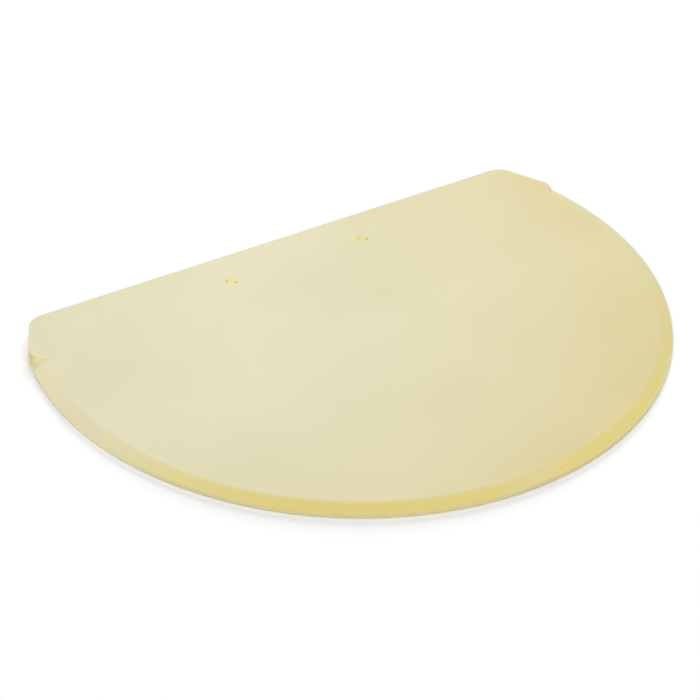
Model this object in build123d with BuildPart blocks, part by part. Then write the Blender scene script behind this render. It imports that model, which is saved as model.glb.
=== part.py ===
from build123d import *
import math
import os

os.makedirs("parts", exist_ok=True)

# Half-moon bowl scraper: one moulded blade of flexible translucent plastic.
# It lies flat on its underside. X runs along the straight edge, +Y points
# from the round edge to the straight edge, and +Z is up. The origin is the
# middle of the blade's box, on the underside.

# Outline, whose round edge is one arc as wide as the blade
blade_width = 120.0
blade_depth = 86.0
corner_radius = 4.0

# Thickness, from the grip to the lip of the round edge
sheet_thickness = 1.8
lip_thickness = 0.7
bevel_width = 2.7
bevel_blend_radius = 2.0

# Flanks, which leave the round edge for the straight edge, and the short ramps
# that end the bevel below them. Both turn away from the round edge's own way
# there, in degrees: the flank from its tangent, and the ramp from its radius.
# A rounded shoulder joins the top of the flank to the top of the ramp.
step_drop = 10.0
flank_turn = 11.7
step_ramp_run = 0.6
step_wall_turn = 39.5
shoulder_radius = 2.5

# Round moulded marks near the straight edge
mark_diameter = 2.2
mark_depth = 0.3
mark_spacing = 29.3
mark_inset = 8.2

# Rounding of the moulded rims
rim_radius = 0.2
mark_rim_radius = 0.12

# How far the grip's block runs past the straight edge and stands out from the
# flanks, where the outline trims it
trim_overrun = 5.0
trim_margin = 0.1

# Places worked out from the sizes
arc_radius = blade_width / 2
straight_y = blade_depth / 2
arc_centre_y = arc_radius - straight_y
step_y = straight_y - step_drop
mark_y = straight_y - mark_inset
flat_radius = arc_radius - bevel_width

# The round edge ends at this many degrees above the level of its centre
foot_angle = math.degrees(math.asin((step_y - arc_centre_y) / arc_radius))
half_turn = 180

# Ends of the right-hand flank, which stands on the round edge
flank_lean = math.radians(foot_angle + flank_turn)
flank_foot = (arc_radius * math.cos(math.radians(foot_angle)), step_y)
flank_top = (flank_foot[0] - step_drop * math.tan(flank_lean), straight_y)

# Top line of the right-hand ramp. It starts at the shoulder, just outside the flank, and
# ends past the bevel and its blend, where the blade has its full thickness.
wall_length = 2 * bevel_width
wall_angle = math.radians(foot_angle + step_wall_turn)
margin_run = trim_margin / math.cos(wall_angle - flank_lean)
shoulder = (
    flank_foot[0] + margin_run * math.cos(wall_angle),
    flank_foot[1] + margin_run * math.sin(wall_angle),
)
wall_end = (
    flank_foot[0] - wall_length * math.cos(wall_angle),
    flank_foot[1] - wall_length * math.sin(wall_angle),
)

# The block's side runs up beside the flank, and past the straight edge
block_rise = step_drop + trim_overrun
block_corner = (shoulder[0] - block_rise * math.tan(flank_lean), shoulder[1] + block_rise)

# How far the ramp leans back from upright, to cover its run in the bevel's fall
ramp_lean = math.degrees(math.atan(step_ramp_run / (sheet_thickness - lip_thickness)))

# The round edge turns about this axis, and its section stands on this plane
arc_axis = Axis((0, arc_centre_y, 0), (0, 0, 1))
section_plane = Plane(origin=(0, arc_centre_y, 0), x_dir=(1, 0, 0), z_dir=(0, -1, 0))


def mirrored(point):
    """Gives the point's twin on the left-hand side."""
    return (-point[0], point[1])


with BuildPart() as scraper_blade:
    # Bevelled disc: its section has the soft start of the bevel and the lip's rounded top
    with BuildSketch(section_plane) as section:
        with BuildLine():
            Polyline(
                (0, 0),
                (arc_radius, 0),
                (arc_radius, lip_thickness),
                (flat_radius, sheet_thickness),
                (0, sheet_thickness),
                close=True,
            )
        make_face()
        fillet(section.vertices().group_by(Axis.Y)[-1].sort_by(Axis.X)[-1], radius=bevel_blend_radius)
        fillet(section.vertices().group_by(Axis.X)[-1].sort_by(Axis.Y)[-1], radius=rim_radius)
    revolve(axis=arc_axis)

    # Full-thickness grip, drawn on its upper face. It widens downwards, which makes the ramps.
    with BuildSketch(Plane.XY.offset(sheet_thickness)) as grip:
        with BuildLine():
            Polyline(
                block_corner,
                shoulder,
                wall_end,
                mirrored(wall_end),
                mirrored(shoulder),
                mirrored(block_corner),
                close=True,
            )
        make_face()
        by_width = grip.vertices().group_by(Axis.X)
        fillet(by_width[0] + by_width[-1], radius=shoulder_radius)
    extrude(amount=-sheet_thickness, taper=-ramp_lean)

    # Both are trimmed to the outline: straight edge, rounded corners, flanks and round edge
    with BuildSketch() as outline:
        with BuildLine():
            Polyline(flank_foot, flank_top, mirrored(flank_top), mirrored(flank_foot))
            CenterArc((0, arc_centre_y), arc_radius, half_turn - foot_angle, half_turn + 2 * foot_angle)
        make_face()
        fillet(outline.vertices().group_by(Axis.Y)[-1], radius=corner_radius)
    extrude(amount=sheet_thickness, mode=Mode.INTERSECT)

    # Rounded rims, all round below and round the grip above its shoulders
    rim_start = step_y + shoulder_radius / 2
    grip_edges = scraper_blade.edges().filter_by_position(Axis.Y, rim_start, straight_y)
    lower_rim = scraper_blade.edges().group_by(Axis.Z)[0]
    fillet(grip_edges.group_by(Axis.Z)[-1] + lower_rim, radius=rim_radius)

    # Round marks, sunk into the upper face, with a softened rim
    with Locations((0, mark_y, sheet_thickness)):
        with GridLocations(mark_spacing, 0, 2, 1):
            Hole(radius=mark_diameter / 2, depth=mark_depth)
    mark_rims = scraper_blade.edges(Select.LAST).filter_by(GeomType.CIRCLE).group_by(Axis.Z)[-1]
    fillet(mark_rims, radius=mark_rim_radius)

scraper_blade.part.label = "scraper_blade"
export_step(scraper_blade.part, "parts/scraper_blade.step")
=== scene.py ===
"""Half-moon bowl scraper of translucent moulded plastic, lying on a white studio floor.

The blade is one moulded piece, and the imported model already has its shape. This script gives
it its finish, lays a floor under it, hangs the soft lights and sets the camera. Here "along" is
the way of the straight edge, and "across" is the way from the round edge to the straight edge.
"""

import logging
import math
from dataclasses import dataclass
from enum import Enum

import bpy
from mathutils import Matrix, Vector


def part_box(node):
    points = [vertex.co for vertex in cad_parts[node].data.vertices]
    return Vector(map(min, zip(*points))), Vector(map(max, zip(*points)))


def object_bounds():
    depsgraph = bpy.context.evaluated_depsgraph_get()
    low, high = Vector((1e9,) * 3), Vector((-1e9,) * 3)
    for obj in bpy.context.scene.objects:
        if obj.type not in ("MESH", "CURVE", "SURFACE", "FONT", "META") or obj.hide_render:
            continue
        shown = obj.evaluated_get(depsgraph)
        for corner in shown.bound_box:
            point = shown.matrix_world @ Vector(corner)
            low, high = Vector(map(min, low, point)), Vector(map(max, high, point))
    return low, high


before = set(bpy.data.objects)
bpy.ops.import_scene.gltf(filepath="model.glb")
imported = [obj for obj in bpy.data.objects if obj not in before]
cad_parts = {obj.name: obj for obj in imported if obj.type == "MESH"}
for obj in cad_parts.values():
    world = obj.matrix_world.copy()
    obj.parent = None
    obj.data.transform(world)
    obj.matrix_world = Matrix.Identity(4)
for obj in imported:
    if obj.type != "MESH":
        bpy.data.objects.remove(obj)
cad_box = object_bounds()

log = logging.getLogger("bowl_scraper")

MM = 0.001

# A Mix node's sockets for colours have the same names as its others, so they go by number
MIX_FIRST = 6
MIX_SECOND = 7
MIX_RESULT = 2

Socket = bpy.types.NodeSocket
Outputs = bpy.types.bpy_prop_collection
Tone = tuple[float, float, float]
Triple = tuple[float, float, float]
Span = tuple[float, float]


def rgba(tone: Tone) -> tuple[float, float, float, float]:
    """Gives the tone as an opaque colour for a socket."""
    return (*tone, 1.0)


class Operation(Enum):
    """The sums that the finishes use."""

    ADD = "ADD"
    SUBTRACT = "SUBTRACT"
    MULTIPLY = "MULTIPLY"
    ABSOLUTE = "ABSOLUTE"
    LARGER = "MAXIMUM"
    SIGN = "SIGN"


class VectorOperation(Enum):
    """The sums with places and directions that the finishes use."""

    STRETCH = "MULTIPLY"
    UNIT = "NORMALIZE"
    DISTANCE = "DISTANCE"
    LENGTH = "LENGTH"


class Curve(Enum):
    """How a value goes from one end of a range to the other."""

    STRAIGHT = "LINEAR"
    SOFT = "SMOOTHSTEP"


class Blend(Enum):
    """How one tone meets another."""

    PLAIN = "MIX"
    TINT = "MULTIPLY"


class NodeBench:
    """Adds shader nodes to one tree and links them.

    Args:
        tree: The node tree that the bench works on.
    """

    def __init__(self, tree: bpy.types.NodeTree) -> None:
        """Keeps the tree."""
        self.tree = tree

    def add(self, kind: str, **settings: object) -> bpy.types.Node:
        """Adds a node.

        Args:
            kind: The node's type name.
            **settings: Properties to set on the node.

        Returns:
            The new node.
        """
        node = self.tree.nodes.new(kind)
        for name, value in settings.items():
            setattr(node, name, value)
        return node

    def place_group(self, group: bpy.types.NodeTree) -> Outputs:
        """Places a node group in the tree.

        Args:
            group: The group.

        Returns:
            What the group puts out, by name.
        """
        return self.add("ShaderNodeGroup", node_tree=group).outputs

    def feed(self, target: Socket, value: Socket | float | Tone) -> None:
        """Links a socket to the target, or sets the target's own value.

        Args:
            target: The input socket.
            value: An output socket, a number, a tone or a triple.
        """
        if isinstance(value, bpy.types.NodeSocket):
            self.tree.links.new(value, target)
        elif isinstance(value, tuple) and len(target.default_value) > len(value):
            target.default_value = rgba(value)
        else:
            target.default_value = value

    def sum(self, operation: Operation, *values: Socket | float) -> Socket:
        """Works out one sum of one or two values.

        Args:
            operation: The sum.
            *values: What goes into it.

        Returns:
            The result's socket.
        """
        node = self.add("ShaderNodeMath", operation=operation.value)
        for target, value in zip(node.inputs, values):
            self.feed(target, value)
        return node.outputs["Value"]

    def add_share(self, value: Socket, other: Socket, share: float) -> Socket:
        """Adds a share of one value to another.

        Args:
            value: The value that counts in full.
            other: The value that counts in part.
            share: The part of it that counts.

        Returns:
            The result's socket.
        """
        return self.sum(Operation.ADD, value, self.sum(Operation.MULTIPLY, other, share))

    def vector_sum(self, operation: VectorOperation, *values: Socket | Triple) -> Socket:
        """Works out one sum of one or two places or directions.

        Args:
            operation: The sum.
            *values: What goes into it.

        Returns:
            The result's socket, which is a number for a distance or a length.
        """
        node = self.add("ShaderNodeVectorMath", operation=operation.value)
        for target, value in zip(node.inputs, values):
            self.feed(target, value)
        is_number = operation in (VectorOperation.DISTANCE, VectorOperation.LENGTH)
        return node.outputs["Value" if is_number else "Vector"]

    def split(self, triple: Socket) -> tuple[Socket, Socket, Socket]:
        """Splits a place or a direction.

        Args:
            triple: The place or the direction.

        Returns:
            Its parts along the blade, across it and upwards.
        """
        node = self.add("ShaderNodeSeparateXYZ")
        self.feed(node.inputs["Vector"], triple)
        return node.outputs["X"], node.outputs["Y"], node.outputs["Z"]

    def remap(
        self,
        value: Socket,
        source: Span,
        result: Span = (0.0, 1.0),
        curve: Curve = Curve.STRAIGHT,
    ) -> Socket:
        """Turns one range of values into another, held at both ends.

        Args:
            value: The value to turn.
            source: The range that it comes in.
            result: The range that it goes to.
            curve: How it goes from one end to the other.

        Returns:
            The result's socket.
        """
        node = self.add("ShaderNodeMapRange", interpolation_type=curve.value)
        self.feed(node.inputs["Value"], value)
        ends = ("From Min", "From Max", "To Min", "To Max")
        for name, number in zip(ends, (*source, *result)):
            self.feed(node.inputs[name], number)
        return node.outputs["Result"]

    def noise(self, place: Socket, grain: float, detail: float, seed: float) -> Socket:
        """Adds smooth noise whose marks are about one grain wide.

        Args:
            place: Where on the piece, in metres.
            grain: The width of a mark, in metres.
            detail: How many finer layers are added.
            seed: Which of its patterns the noise takes.

        Returns:
            The noise's value, about 0.5.
        """
        node = self.add("ShaderNodeTexNoise", noise_dimensions="4D")
        self.feed(node.inputs["Vector"], place)
        self.feed(node.inputs["W"], seed)
        self.feed(node.inputs["Scale"], 1.0 / grain)
        self.feed(node.inputs["Detail"], detail)
        return node.outputs["Fac"]

    def mix(
        self,
        share: Socket,
        first: Socket | Tone,
        second: Socket | Tone,
        blend: Blend = Blend.PLAIN,
    ) -> Socket:
        """Mixes two tones.

        Args:
            share: How much of the second tone shows.
            first: The tone at no share.
            second: The tone at the full share.
            blend: How the second tone meets the first.

        Returns:
            The mixed tone's socket.
        """
        node = self.add("ShaderNodeMix", data_type="RGBA", blend_type=blend.value)
        self.feed(node.inputs["Factor"], share)
        self.feed(node.inputs[MIX_FIRST], first)
        self.feed(node.inputs[MIX_SECOND], second)
        return node.outputs[MIX_RESULT]

    def cover(self, base: Socket | Tone, tone: Socket | Tone, mask: Socket, region: Socket) -> Socket:
        """Covers a tone with another where a mask and a region overlap.

        Args:
            base: The tone below.
            tone: The tone that covers it.
            mask: Which surfaces it covers.
            region: Where on the blade it covers them.

        Returns:
            The result's socket.
        """
        return self.mix(self.sum(Operation.MULTIPLY, mask, region), base, tone)

    def relief(self, height: Socket, distance: float, normal: Socket | None = None) -> Socket:
        """Raises a fine relief on a surface, as a bump.

        Args:
            height: The relief's height, from 0 to 1.
            distance: How high 1 is, in metres.
            normal: The normal below the relief, or none for the surface's own.

        Returns:
            The new normal's socket.
        """
        node = self.add("ShaderNodeBump")
        self.feed(node.inputs["Strength"], 1.0)
        self.feed(node.inputs["Distance"], distance)
        self.feed(node.inputs["Height"], height)
        if normal is not None:
            self.feed(node.inputs["Normal"], normal)
        return node.outputs["Normal"]


class GroupBench(NodeBench):
    """Builds a shader node group that knows where on the blade it is, and puts out numbers.

    Args:
        name: The group's name.
    """

    def __init__(self, name: str) -> None:
        """Starts the group with the blade's own coordinates."""
        super().__init__(bpy.data.node_groups.new(name, "ShaderNodeTree"))
        coordinates = self.add("ShaderNodeTexCoord")
        self.place = coordinates.outputs["Object"]
        self.normal = coordinates.outputs["Normal"]

    def give(self, **results: Socket) -> bpy.types.NodeTree:
        """Ends the group with one output for each result.

        Args:
            **results: What each output gives.

        Returns:
            The node group.
        """
        for name in results:
            self.tree.interface.new_socket(name, in_out="OUTPUT", socket_type="NodeSocketFloat")
        end = self.add("NodeGroupOutput")
        for name, value in results.items():
            self.feed(end.inputs[name], value)
        return self.tree


@dataclass(frozen=True)
class EdgeDepth:
    """Masks by a surface's height and slope, which carry the blade's painted light and shade: the bevel's
    glow, the lip's lifted tone and the walls' tones.

    Attributes:
        face_level: The height of the upper face.
        bevel_level: The height at which the bevel's colour is full.
        lip_level: The height of the lip's top, below which a wall takes the lip's painted tone in full.
        foot_level: The height at which the colour starts over the underside.
        wall_start: How far a normal's height is under 1 where a rounded rim turns into a wall.
        wall_full: The same on the ramps and on all that is steeper.
        full_slope: The normal's sideways part on the bevel.
    """

    face_level: float = 1.8 * MM
    bevel_level: float = 1.38 * MM
    lip_level: float = 0.7 * MM
    foot_level: float = 0.12 * MM
    wall_start: float = 0.1
    wall_full: float = 0.16
    full_slope: float = 0.37

    def build(self) -> bpy.types.NodeTree:
        """Builds the group with the outputs Bevel, Slope, Wall and Low.

        Returns:
            The node group.
        """
        bench = GroupBench("edge_depth")
        height = bench.split(bench.place)[2]
        sunk = bench.remap(height, (self.face_level, self.bevel_level), curve=Curve.SOFT)
        above_foot = bench.remap(height, (0.0, self.foot_level), curve=Curve.SOFT)
        upright = bench.sum(Operation.ABSOLUTE, bench.split(bench.normal)[2])
        lean = bench.sum(Operation.SUBTRACT, 1.0, upright)
        sideways = bench.vector_sum(VectorOperation.STRETCH, bench.normal, (1.0, 1.0, 0.0))
        tilt = bench.vector_sum(VectorOperation.LENGTH, sideways)
        slope = bench.remap(tilt, (0.0, self.full_slope))
        return bench.give(
            Bevel=bench.sum(Operation.MULTIPLY, sunk, above_foot),
            Slope=bench.sum(Operation.MULTIPLY, slope, above_foot),
            Wall=bench.remap(lean, (self.wall_start, self.wall_full), curve=Curve.SOFT),
            Low=bench.remap(height, (self.bevel_level, self.lip_level), curve=Curve.SOFT),
        )


@dataclass(frozen=True)
class PaintedEdgeLight:
    """Where on the blade painted light and shade change the bevel's colour: the amber glow of its front,
    its lit left end and shaded right end, its dimmer right half, and the shaded walls at the back right.

    Attributes:
        slant: How much a place along the blade counts towards the amber.
        amber_start: Where the amber starts, across the blade.
        amber_full: Where it is full.
        gap_along: The middle of a paler stretch of the edge, along the blade.
        gap_across: The same, across the blade.
        gap_reach: How far the paler stretch reaches.
        gap_share: How much of the amber the paler stretch takes away.
        end_slope: How much a place across the blade counts towards the pale ends.
        end_start: Where the pale ends start, from the blade's middle.
        end_full: Where they are full.
        dim_full: Where the right half is at its dimmest, along the blade.
        back_slant: How much a place along the blade counts towards the back right.
        back_start: Where the back right starts, across the blade.
        back_full: Where it is full.
        middle: How far from the blade's middle its left half ends and its right half starts.
    """

    slant: float = 0.15
    amber_start: float = 4 * MM
    amber_full: float = -38 * MM
    gap_along: float = 1 * MM
    gap_across: float = -42 * MM
    gap_reach: float = 11 * MM
    gap_share: float = 0.9
    end_slope: float = 0.35
    end_start: float = 45 * MM
    end_full: float = 65 * MM
    dim_full: float = 55 * MM
    back_slant: float = 0.7
    back_start: float = -2 * MM
    back_full: float = 18 * MM
    middle: float = 1 * MM

    def build(self) -> bpy.types.NodeTree:
        """Builds the group with the outputs Amber, End, Dim, Back and Right, for the right half.

        Returns:
            The node group.
        """
        bench = GroupBench("painted_edge_light")
        along, across, _ = bench.split(bench.place)
        gap_middle = (self.gap_along, self.gap_across, 0.0)
        from_gap = bench.vector_sum(VectorOperation.DISTANCE, bench.place, gap_middle)
        beside_gap = bench.remap(from_gap, (0.0, self.gap_reach), (1.0 - self.gap_share, 1.0), Curve.SOFT)
        slanted = bench.add_share(across, along, self.slant)
        amber = bench.remap(slanted, (self.amber_start, self.amber_full), curve=Curve.SOFT)
        outward = bench.add_share(bench.sum(Operation.ABSOLUTE, along), across, self.end_slope)
        backward = bench.add_share(across, along, self.back_slant)
        # Each mask carries painted light or shade: Amber a glow, End the ends' lit and shaded tones, Dim
        # the right half's shade, Back the walls' shade.
        return bench.give(
            Amber=bench.sum(Operation.MULTIPLY, amber, beside_gap),
            End=bench.remap(outward, (self.end_start, self.end_full), curve=Curve.SOFT),
            Dim=bench.remap(along, (0.0, self.dim_full), curve=Curve.SOFT),
            Back=bench.remap(backward, (self.back_start, self.back_full), curve=Curve.SOFT),
            Right=bench.remap(along, (-self.middle, self.middle)),
        )


@dataclass(frozen=True)
class GlowSpot:
    """A small place where colour is painted as light: light that gathers in the plastic, or light that
    lifts a shade, so that it looks yellower or paler.

    Attributes:
        name: What the place is.
        along: Where its middle is, along the blade.
        across: Where it is, across the blade.
        height: How high it is.
        core: How far from its middle the colour is full.
        halo: How far from there it has faded out.
        spacing: How far apart the blade has two of them, or zero for one.
    """

    name: str
    along: float
    across: float
    height: float
    core: float
    halo: float
    spacing: float = 0.0

    def build(self) -> bpy.types.NodeTree:
        """Builds the group with the output Spot.

        Returns:
            The node group.
        """
        bench = GroupBench(self.name)
        middle = (self.along, self.across, self.height)
        away = bench.vector_sum(VectorOperation.DISTANCE, self.from_nearest(bench), middle)
        return bench.give(Spot=bench.remap(away, (self.halo, self.core), curve=Curve.SOFT))

    def from_nearest(self, bench: GroupBench) -> Socket:
        """Measures a place from the nearer of the two spots, along the blade.

        Args:
            bench: Where the nodes go.

        Returns:
            The place, moved by half the spacing towards the blade's middle.
        """
        along, across, height = bench.split(bench.place)
        shift = bench.sum(Operation.MULTIPLY, bench.sum(Operation.SIGN, along), self.spacing / 2)
        moved = bench.add("ShaderNodeCombineXYZ")
        bench.feed(moved.inputs["X"], bench.sum(Operation.SUBTRACT, along, shift))
        bench.feed(moved.inputs["Y"], across)
        bench.feed(moved.inputs["Z"], height)
        return moved.outputs["Vector"]


MARK_SPACING = 29.3 * MM
# Painted glow: a yellow spot in and round each mould mark, for light that gathers in the recess.
MOULD_MARKS = GlowSpot(
    "mould_marks",
    along=0.0,
    across=34.8 * MM,
    height=1.8 * MM,
    core=1.1 * MM,
    halo=2.0 * MM,
    spacing=MARK_SPACING,
)
# Painted light: where the key lamp's shadow falls inside each mark.
MARK_BACKS = GlowSpot(
    "mark_backs",
    along=0.69 * MM,
    across=35.78 * MM,
    height=1.5 * MM,
    core=0.6 * MM,
    halo=1.5 * MM,
    spacing=MARK_SPACING,
)
# Painted glow on the left ramp, over the shade in the corner below it.
LEFT_CORNER = GlowSpot(
    "left_corner",
    along=-57.4 * MM,
    across=32.9 * MM,
    height=1.3 * MM,
    core=0.3 * MM,
    halo=3.0 * MM,
)
# Painted light over the key lamp's shadow at the left ramp's foot.
LEFT_FOOT = GlowSpot(
    "left_foot",
    along=-57.0 * MM,
    across=30.7 * MM,
    height=1.2 * MM,
    core=0.5 * MM,
    halo=1.6 * MM,
)


@dataclass(frozen=True)
class FaceGradient:
    """The slow change of tone over the upper face: palest at one place, and yellower with the distance
    from it, more slowly along one way than across it.

    Attributes:
        palest_along: Where the sheet is palest, along the blade.
        palest_across: The same, across the blade.
        gradient_turn: Which way the tone changes most slowly, in degrees from the straight edge.
        gradient_reach: How far from the palest place the tone is full, along that way.
        cross_reach: The same, across that way.
        cloud: The width of the faint clouds in the shade.
        cloud_detail: How many finer layers the clouds have.
        seed: Which pattern the clouds take.
    """

    palest_along: float = -33 * MM
    palest_across: float = 17 * MM
    gradient_turn: float = 31.0
    gradient_reach: float = 100 * MM
    cross_reach: float = 73 * MM
    cloud: float = 22 * MM
    cloud_detail: float = 2.0
    seed: float = 3.0

    def build(self) -> bpy.types.NodeTree:
        """Builds the group with the outputs Shade and Cloud.

        Returns:
            The node group.
        """
        bench = GroupBench("face_gradient")
        gradient = bench.add("ShaderNodeMapping", vector_type="TEXTURE")
        bench.feed(gradient.inputs["Vector"], bench.place)
        bench.feed(gradient.inputs["Location"], (self.palest_along, self.palest_across, 0.0))
        bench.feed(gradient.inputs["Rotation"], (0.0, 0.0, math.radians(self.gradient_turn)))
        bench.feed(gradient.inputs["Scale"], (self.gradient_reach, self.cross_reach, self.cross_reach))
        away = bench.vector_sum(VectorOperation.LENGTH, gradient.outputs["Vector"])
        return bench.give(
            Shade=bench.sum(Operation.MULTIPLY, away, away),
            Cloud=bench.noise(bench.place, self.cloud, self.cloud_detail, self.seed),
        )


@dataclass(frozen=True)
class MouldedGrain:
    """The satin texture that a spark-eroded mould leaves, with the slow waves of a thin sheet.

    Attributes:
        grain: The width of one grain.
        grain_detail: How many finer layers the grain has.
        grain_seed: Which pattern the grain takes.
        wave: The width of one wave.
        wave_detail: How many finer layers the waves have.
        wave_seed: Which pattern the waves take.
    """

    grain: float = 0.22 * MM
    grain_detail: float = 3.0
    grain_seed: float = 7.0
    wave: float = 24 * MM
    wave_detail: float = 0.0
    wave_seed: float = 11.0

    def build(self) -> bpy.types.NodeTree:
        """Builds the group with the outputs Grain and Wave.

        Returns:
            The node group.
        """
        bench = GroupBench("moulded_grain")
        return bench.give(
            Grain=bench.noise(bench.place, self.grain, self.grain_detail, self.grain_seed),
            Wave=bench.noise(bench.place, self.wave, self.wave_detail, self.wave_seed),
        )


@dataclass(frozen=True)
class TranslucentPlastic:
    """The blade's finish: pale, milky plastic whose colour has light and shade painted in: a deeper
    yellow where light would go further in, and tones that make up for the lamps on its slopes, walls and
    marks.

    Attributes:
        slot: The record's material slot.
        pale: The tone of the level faces where they are palest.
        straw: The tone of the level faces near the round edge.
        amber: The bevel's painted deeper yellow in the middle of the round edge: a glow of light gathered
            in the thin edge, darker where it catches less sheen.
        wax: The bevel's tone at its left end, painted paler for the light and sheen that fall there.
        moss: The bevel's tone at its right end, painted darker against the key lamp's light there.
        honey: The marks' yellow tone, painted as a glow of gathered light on their floors and round them.
        nectar: The brighter tone painted on the marks' walls and on the sides the lamp leaves in shadow.
        deep: The lip's tone, painted brighter to make up for the shade on it.
        milky: The lip's tone near the ramps and on the right, painted paler still where the lamps leave
            it darker.
        resin: The deep yellow painted on the left ramp and over the shade in the corner below it.
        cream: The paler tone painted over the key lamp's shadow at the left ramp's foot.
        sage: The darker tone painted on the walls at the back right, against the key lamp's light on
            them.
        lit: The painted light that brightens the left half of the bevel, against its shading.
        dim: The painted shade that darkens the right half, against the key lamp's light.
        cloud_span: The clouds' values between which they change the shade.
        cloud_share: How much they change it, up and down.
        gloss: The shader's roughness on a clean level face.
        gloss_span: The clouds' values between which they change the roughness.
        gloss_share: How much they change it, up and down.
        refraction: The plastic's index of refraction.
        sheen: How strongly the surface mirrors, where 0.5 is clear polished plastic.
        wave_height: How high the sheet's slow waves are.
        grain_height: How high the satin grain is.
        spread: How much light that spreads inside turns a slope's shading towards a level face's.
    """

    slot: str = "translucent_plastic"
    pale: Tone = (0.682, 0.645, 0.433)
    straw: Tone = (0.653, 0.562, 0.28)
    amber: Tone = (0.674, 0.562, 0.216)
    wax: Tone = (0.643, 0.588, 0.428)
    moss: Tone = (0.575, 0.54, 0.334)
    honey: Tone = (0.685, 0.645, 0.32)
    nectar: Tone = (0.95, 0.90, 0.48)
    deep: Tone = (0.74, 0.65, 0.33)
    milky: Tone = (0.90, 0.83, 0.52)
    resin: Tone = (0.76, 0.675, 0.25)
    cream: Tone = (0.885, 0.815, 0.49)
    sage: Tone = (0.60, 0.575, 0.365)
    lit: Tone = (1.243, 1.243, 1.09)
    dim: Tone = (1.02, 1.03, 0.93)
    cloud_span: Span = (0.25, 0.75)
    cloud_share: float = 0.035
    gloss: float = 0.65
    gloss_span: Span = (0.3, 0.7)
    gloss_share: float = 0.04
    refraction: float = 1.5
    sheen: float = 0.25
    wave_height: float = 0.02 * MM
    grain_height: float = 0.004 * MM
    spread: float = 1.0

    def build(self) -> bpy.types.Material:
        """Builds the material.

        Returns:
            The finished material.
        """
        material = bpy.data.materials.new(self.slot)
        material.use_nodes = True
        material.node_tree.nodes.clear()
        bench = NodeBench(material.node_tree)
        shader = bench.add("ShaderNodeBsdfPrincipled")
        output = bench.add("ShaderNodeOutputMaterial")
        bench.feed(output.inputs["Surface"], shader.outputs["BSDF"])

        depth = bench.place_group(EdgeDepth().build())
        gradient = bench.place_group(FaceGradient().build())
        marks = bench.place_group(MOULD_MARKS.build())
        blade = self.tone_blade(bench, depth, gradient)
        # Painted glow: the marks and a ring round them take a yellower tone.
        tone = bench.mix(marks["Spot"], blade, self.tone_marks(bench, depth))
        bench.feed(shader.inputs["Base Color"], tone)

        rough_span = (self.gloss - self.gloss_share, self.gloss + self.gloss_share)
        bench.feed(shader.inputs["Roughness"], bench.remap(gradient["Cloud"], self.gloss_span, rough_span))
        bench.feed(shader.inputs["IOR"], self.refraction)
        bench.feed(shader.inputs["Specular IOR Level"], self.sheen)
        bench.feed(shader.inputs["Normal"], self.shape_surface(bench))
        return material

    def tone_blade(self, bench: NodeBench, depth: Outputs, gradient: Outputs) -> Socket:
        """Tones the faces, the bevel, the lip and the ramps, with painted light and shade on all but the
        level faces.

        Args:
            bench: Where the nodes go.
            depth: What the edge's depth puts out.
            gradient: What the face's slow tone change puts out.

        Returns:
            The tone's socket.
        """
        edge = bench.place_group(PaintedEdgeLight().build())
        corner = bench.place_group(LEFT_CORNER.build())
        foot = bench.place_group(LEFT_FOOT.build())
        cloud = bench.remap(gradient["Cloud"], self.cloud_span, (-self.cloud_share, self.cloud_share))
        tone = bench.mix(bench.sum(Operation.ADD, gradient["Shade"], cloud), self.pale, self.straw)
        # Painted light and shade: the bevel's ends turn paler on the left and darker on the right.
        end_tone = bench.mix(edge["Right"], self.wax, self.moss)
        tone = bench.cover(tone, end_tone, depth["Slope"], edge["End"])
        # Painted glow: the bevel's front turns amber, for light gathered in the thin edge and the sheen
        # it lacks.
        tone = bench.cover(tone, self.amber, depth["Bevel"], edge["Amber"])
        # Painted light and shade: the bevel's slopes are brightened on the left and darkened on the
        # right, against how the lamps light them.
        painted_side_shading = bench.mix(edge["Dim"], self.lit, self.dim)
        tone = bench.mix(depth["Slope"], tone, painted_side_shading, Blend.TINT)
        # Painted light: the lip's tone makes up for its shade, and turns paler near the ramps and on the
        # right.
        milky = bench.sum(Operation.LARGER, edge["End"], edge["Dim"])
        lip_tone = bench.mix(milky, self.deep, self.milky)
        tone = bench.cover(tone, lip_tone, depth["Wall"], depth["Low"])
        # Painted glow: the left ramp turns a deep yellow, which also covers the shade in the corner below
        # it.
        tone = bench.cover(tone, self.resin, depth["Slope"], corner["Spot"])
        # Painted light: a paler tone over the key lamp's shadow at the left ramp's foot.
        tone = bench.cover(tone, self.cream, depth["Slope"], foot["Spot"])
        # Painted shade: the walls at the back right, which face the key lamp, are darkened.
        return bench.cover(tone, self.sage, depth["Wall"], edge["Back"])

    def tone_marks(self, bench: NodeBench, depth: Outputs) -> Socket:
        """Tones the two moulded marks with painted light: a yellow glow, and a brighter tone on their
        walls and on the backs that the lamp leaves in shadow.

        Args:
            bench: Where the nodes go.
            depth: What the edge's depth puts out.

        Returns:
            The tone's socket.
        """
        backs = bench.place_group(MARK_BACKS.build())
        # Painted light: the marks' walls take the brighter nectar, against their shade.
        tone = bench.mix(depth["Wall"], self.honey, self.nectar)
        # Painted light over the shadow that the key lamp casts into the back of each mark.
        return bench.cover(tone, self.nectar, depth["Bevel"], backs["Spot"])

    def shape_surface(self, bench: NodeBench) -> Socket:
        """Gives the surface its waves and grain, and softens the shading of its slopes.

        Light that spreads inside the plastic lights a slope more like a level face, so the
        normal is turned upwards there. On level faces and upright walls it stays.

        Args:
            bench: Where the nodes go.

        Returns:
            The normal's socket.
        """
        grain = bench.place_group(MouldedGrain().build())
        waves = bench.relief(grain["Wave"], self.wave_height)
        satin = bench.relief(grain["Grain"], self.grain_height, waves)
        stretch = (1.0, 1.0, 1.0 + self.spread)
        turned = bench.vector_sum(VectorOperation.STRETCH, satin, stretch)
        return bench.vector_sum(VectorOperation.UNIT, turned)


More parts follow.
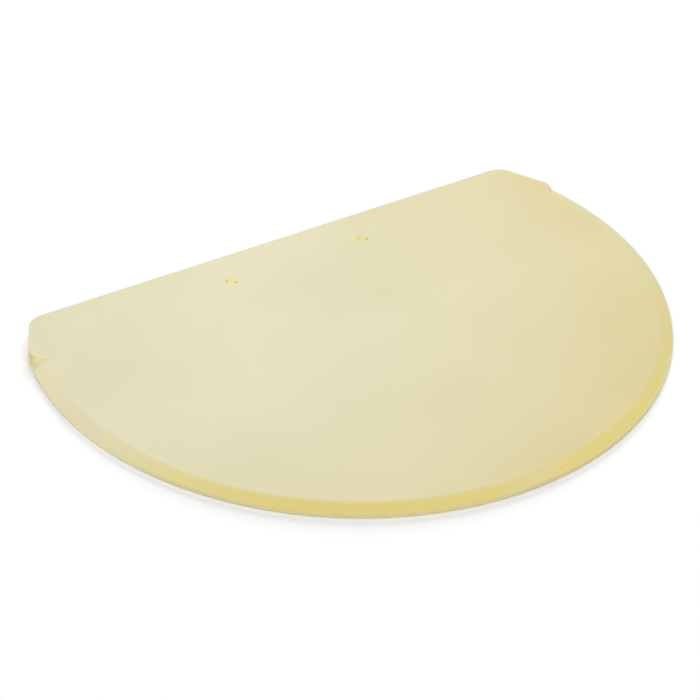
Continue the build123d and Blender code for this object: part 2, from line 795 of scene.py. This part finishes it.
@dataclass
class ScraperBlade:
    """The moulded blade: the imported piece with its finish.

    Attributes:
        node: The piece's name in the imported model.
        finish: What it is made of.
    """

    node: str = "scraper_blade"
    finish: TranslucentPlastic = TranslucentPlastic()

    def dress(self) -> bpy.types.Object:
        """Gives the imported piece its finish.

        Returns:
            The dressed piece.
        """
        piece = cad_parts[self.node]
        material = self.finish.build()
        for holder in piece.material_slots:
            holder.material = material
        low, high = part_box(self.node)
        size = [round(side / MM, 1) for side in high - low]
        log.info("%s: %s mm, finish %s", self.node, size, material.name)
        return piece


def seen_directly(bench: NodeBench) -> Socket:
    """Tells rays that look at a surface or the sky from rays that gather light.

    Args:
        bench: Where the nodes go.

    Returns:
        1 for camera, glossy and transmission rays, and 0 for others.
    """
    rays = bench.add("ShaderNodeLightPath").outputs
    looking = bench.sum(Operation.LARGER, rays["Is Camera Ray"], rays["Is Glossy Ray"])
    return bench.sum(Operation.LARGER, looking, rays["Is Transmission Ray"])


@dataclass
class StudioFloor:
    """A wide white floor that keeps the blade's shadow and clears to plain white.

    Attributes:
        side: How wide and deep the floor is.
        drop: How far under the blade's underside it lies, so that the two faces don't mix.
        paint: The floor's own white.
        lift: The share of plain white that the camera sees in it.
    """

    side: float = 6.0
    drop: float = 0.05 * MM
    paint: Tone = (1.0, 1.0, 1.0)
    lift: float = 0.03

    def lay(self) -> bpy.types.Object:
        """Lays the floor under the blade.

        Returns:
            The floor.
        """
        half = self.side / 2
        level = cad_box[0].z - self.drop
        corners = [(-half, -half, level), (half, -half, level), (half, half, level), (-half, half, level)]
        mesh = bpy.data.meshes.new("studio_floor")
        mesh.from_pydata(corners, [], [(0, 1, 2, 3)])
        mesh.materials.append(self.build_paint())
        floor = bpy.data.objects.new("studio_floor", mesh)
        bpy.context.scene.collection.objects.link(floor)
        log.info("%s: %.0f m square", floor.name, self.side)
        return floor

    def build_paint(self) -> bpy.types.Material:
        """Builds the floor's white, part paint and part plain white for what looks at it.

        Returns:
            The floor's material.
        """
        material = bpy.data.materials.new("floor_white")
        material.use_nodes = True
        material.node_tree.nodes.clear()
        bench = NodeBench(material.node_tree)
        paint = bench.add("ShaderNodeBsdfDiffuse")
        bench.feed(paint.inputs["Color"], self.paint)
        glow = bench.add("ShaderNodeEmission")
        mix = bench.add("ShaderNodeMixShader")
        share, plain, lifted = mix.inputs
        bench.feed(share, bench.sum(Operation.MULTIPLY, seen_directly(bench), self.lift))
        bench.feed(plain, paint.outputs["BSDF"])
        bench.feed(lifted, glow.outputs["Emission"])
        output = bench.add("ShaderNodeOutputMaterial")
        bench.feed(output.inputs["Surface"], mix.outputs["Shader"])
        return material


@dataclass
class StudioAir:
    """The white all round: plain white to look at, and an even light at its own level.

    Attributes:
        level: How strongly it lights the object, where 1 shows a colour as written.
        white: How bright it looks itself.
        tone: Its colour.
    """

    level: float = 0.24
    white: float = 1.0
    tone: Tone = (1.0, 1.0, 1.0)

    def fill(self) -> bpy.types.World:
        """Makes the world.

        Returns:
            The scene's world.
        """
        world = bpy.data.worlds.new("studio_air")
        world.use_nodes = True
        world.node_tree.nodes.clear()
        bench = NodeBench(world.node_tree)
        light = bench.add("ShaderNodeBackground")
        bench.feed(light.inputs["Color"], self.tone)
        strength = bench.remap(seen_directly(bench), (0.0, 1.0), (self.level, self.white))
        bench.feed(light.inputs["Strength"], strength)
        output = bench.add("ShaderNodeOutputWorld")
        bench.feed(output.inputs["Surface"], light.outputs["Background"])
        bpy.context.scene.world = world
        log.info("%s: level %.2f", world.name, self.level)
        return world


def direction(azimuth: float, elevation: float) -> Vector:
    """Gives the way out from the blade to a place round it.

    Args:
        azimuth: In degrees: 0 is in front of the round edge, and 90 is on the right.
        elevation: In degrees above the floor.

    Returns:
        A unit vector.
    """
    around, above = math.radians(azimuth), math.radians(elevation)
    return Vector((
        math.sin(around) * math.cos(above),
        -math.cos(around) * math.cos(above),
        math.sin(above),
    ))


@dataclass
class Softbox:
    """A wide soft white lamp that looks at the blade.

    Attributes:
        name: The lamp's name.
        azimuth: Where it hangs, in degrees round the blade: 0 is in front, 90 is on the right.
        elevation: How high it hangs, in degrees.
        width: How wide it is.
        height: How high it is.
        card_level: What it adds to a white card that faces it.
        distance: How far it is from the blade.
    """

    name: str
    azimuth: float
    elevation: float
    width: float
    height: float
    card_level: float
    distance: float = 2.0

    def hang(self) -> bpy.types.Object:
        """Hangs the lamp.

        Returns:
            The lamp.
        """
        lamp = bpy.data.lights.new(self.name, "AREA")
        lamp.shape = "RECTANGLE"
        lamp.size = self.width
        lamp.size_y = self.height
        lamp.energy = self.card_level * (math.pi * self.distance) ** 2
        holder = bpy.data.objects.new(self.name, lamp)
        bpy.context.scene.collection.objects.link(holder)
        out = direction(self.azimuth, self.elevation)
        holder.location = out * self.distance
        holder.rotation_euler = out.to_track_quat("Z", "Y").to_euler()
        log.info("%s: %.1f W", self.name, lamp.energy)
        return holder


STUDIO_LAMPS = (
    Softbox("key_softbox", azimuth=145.0, elevation=19.0, width=0.8, height=0.6, card_level=0.86),
    Softbox("left_softbox", azimuth=-65.0, elevation=32.0, width=1.2, height=0.8, card_level=0.34),
    Softbox("front_softbox", azimuth=20.0, elevation=32.0, width=1.2, height=0.8, card_level=0.23),
    Softbox("top_softbox", azimuth=150.0, elevation=85.0, width=1.5, height=1.5, card_level=0.28),
)


@dataclass
class PhotoCamera:
    """The camera at the photograph's place.

    Attributes:
        lens: The focal length in millimetres, on the sensor's width.
        sensor: The sensor's width in millimetres.
        azimuth: Where it stands, in degrees round the blade.
        elevation: How high it stands, in degrees.
        roll: How far the picture is turned, in degrees.
        distance: How far it is from the point that it looks at.
        aim_along: Where it looks, along the blade.
        aim_across: The same, across the blade.
        nearest: How far from it the picture starts.
    """

    lens: float = 138.86
    sensor: float = 36.0
    azimuth: float = -34.135
    elevation: float = 35.483
    roll: float = 2.252
    distance: float = 491.23 * MM
    aim_along: float = -5.896 * MM
    aim_across: float = 7.176 * MM
    nearest: float = 10 * MM

    def place(self) -> bpy.types.Object:
        """Makes the camera and gives it to the scene.

        Returns:
            The camera.
        """
        lens = bpy.data.cameras.new("photo_camera")
        lens.lens = self.lens
        lens.sensor_width = self.sensor
        lens.clip_start = self.nearest
        camera = bpy.data.objects.new("photo_camera", lens)
        back = direction(self.azimuth, self.elevation)
        right = Vector((0.0, 0.0, 1.0)).cross(back).normalized()
        up = back.cross(right)
        level = Matrix((right, up, back)).transposed().to_4x4()
        aim = Vector((self.aim_along, self.aim_across, 0.0))
        roll = Matrix.Rotation(math.radians(self.roll), 4, "Z")
        camera.matrix_world = Matrix.Translation(aim + back * self.distance) @ level @ roll
        bpy.context.scene.collection.objects.link(camera)
        bpy.context.scene.camera = camera
        log.info("%s: %.0f mm lens at %.2f m", camera.name, self.lens, self.distance)
        return camera


def main() -> None:
    """Builds the scene in order: blade, floor, light and camera."""
    logging.basicConfig(level=logging.INFO, format="%(name)s: %(message)s")
    bpy.context.scene.view_settings.view_transform = "Standard"
    ScraperBlade().dress()
    StudioFloor().lay()
    StudioAir().fill()
    for lamp in STUDIO_LAMPS:
        lamp.hang()
    PhotoCamera().place()


if __name__ == "__main__":
    main()
